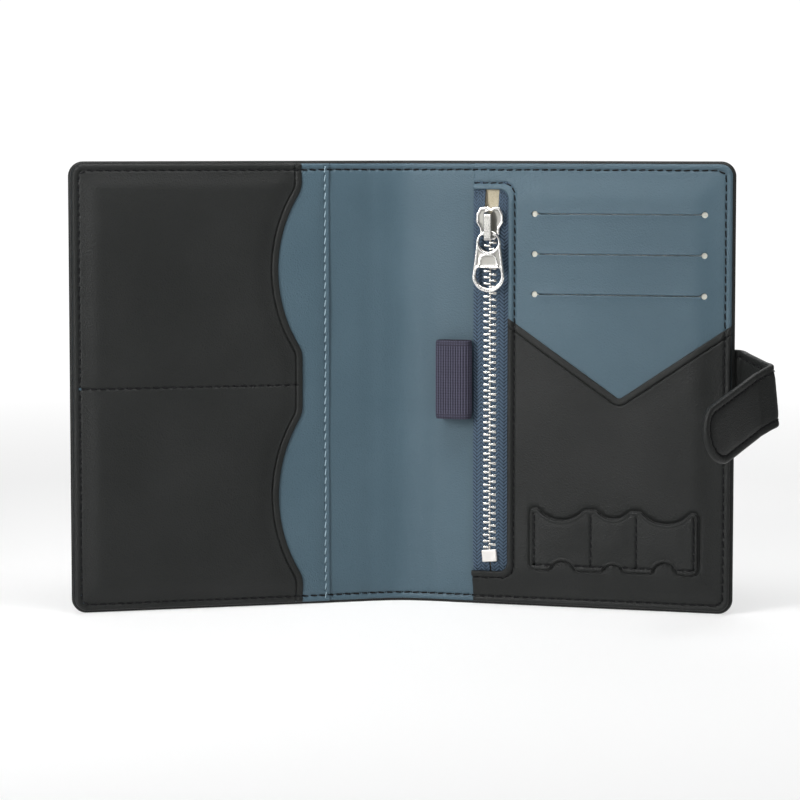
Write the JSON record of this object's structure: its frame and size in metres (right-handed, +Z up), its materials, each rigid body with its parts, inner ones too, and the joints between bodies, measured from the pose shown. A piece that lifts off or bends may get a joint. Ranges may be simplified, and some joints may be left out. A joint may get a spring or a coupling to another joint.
{
  "type": "passport holder",
  "caption": "Open book-shaped passport holder with card pockets, a zipped pocket, a pen loop and a magnetic closing strap.",
  "frame": {"origin": "middle of the spine's bottom edge, halfway through the outer skin", "axes": "+X along the back cover, +Y out of the spine's outer side, +Z up the spine"},
  "size_m": [0.2317, 0.0879, 0.15],
  "materials": {
    "black_leather": "fine grained, satin",
    "blue_leather": "fine grained, satin",
    "navy_tape": "herringbone woven, matt",
    "navy_elastic": "ribbed elastic, matt",
    "beige_lining": "plain woven, matt",
    "cream_backing": "non-woven, matt",
    "board": "pressed fibre board, matt",
    "foil": "thin foil, satin",
    "nickel": "polished nickel plate",
    "magnet_steel": "plated, satin",
    "black_thread": "twisted thread, matt",
    "blue_thread": "twisted thread, matt"
  },
  "bodies": {
    "spine": {"outer_skin_spine": "black_leather", "spine_board": "board", "lining_spine": "blue_leather"},
    "front_cover": {"outer_skin_front": "black_leather", "front_board": "board", "closure_keeper": "magnet_steel", "lining_front": "blue_leather", "document_pocket": "blue_leather", "card_pocket": "black_leather"},
    "back_cover": {"outer_skin_back": "black_leather", "back_board": "board", "shield_foil": "foil", "lining_back": "blue_leather", "zip_pocket_lining": "beige_lining", "zip_tape_left": "navy_tape", "zip_tape_right": "navy_tape", "zip_teeth_left": "nickel", "zip_teeth_right": "nickel", "zip_bottom_stop": "nickel", "zip_top_stops": "nickel", "card_panel": "blue_leather", "card_layer_upper": "cream_backing", "card_layer_middle": "cream_backing", "card_layer_lower": "cream_backing", "v_pocket": "black_leather", "small_card_strip": "black_leather", "pen_loop": "navy_elastic", "strap_root": "black_leather"},
    "zip_slider": {"slider_body": "nickel", "slider_bridge": "nickel"},
    "pull_tab": {"pull_tab": "nickel"},
    "strap_base": {"strap_base_outer": "black_leather", "strap_base_lining": "black_leather"},
    "strap_tip": {"strap_tip_outer": "black_leather", "strap_tip_lining": "black_leather", "strap_magnet": "magnet_steel"}
  },
  "joints": [
    {"name": "front_hinge", "type": "hinge", "parent": "spine", "child": "front_cover", "pos_m": [-0.0085, 0, 0.075], "axis": [0, 0, 1], "range_deg": [-16, 74]},
    {"name": "back_hinge", "type": "hinge", "parent": "spine", "child": "back_cover", "pos_m": [0.0085, 0, 0.075], "axis": [0, 0, -1], "range_deg": [-16, 74]},
    {"name": "strap_hinge", "type": "hinge", "parent": "back_cover", "child": "strap_base", "pos_m": [0.11167, -0.02802, 0.0785], "axis": [0, 0, -1], "range_deg": [-51.7, 38.3]},
    {"name": "strap_fold", "type": "hinge", "parent": "strap_base", "child": "strap_tip", "pos_m": [0.12047, -0.04947, 0.07462], "axis": [0.0789, -0.1924, -0.9781], "range_deg": [-59, 26]},
    {"name": "zip_slide", "type": "slide", "parent": "back_cover", "child": "zip_slider", "axis": [0, 0, -1], "range_m": [0, 0.104]},
    {"name": "pull_swing", "type": "hinge", "parent": "zip_slider", "child": "pull_tab", "pos_m": [0.02883, -0.0129, 0.126], "axis": [0.9613, -0.2756, 0], "range_deg": [-150, 0]}
  ]
}
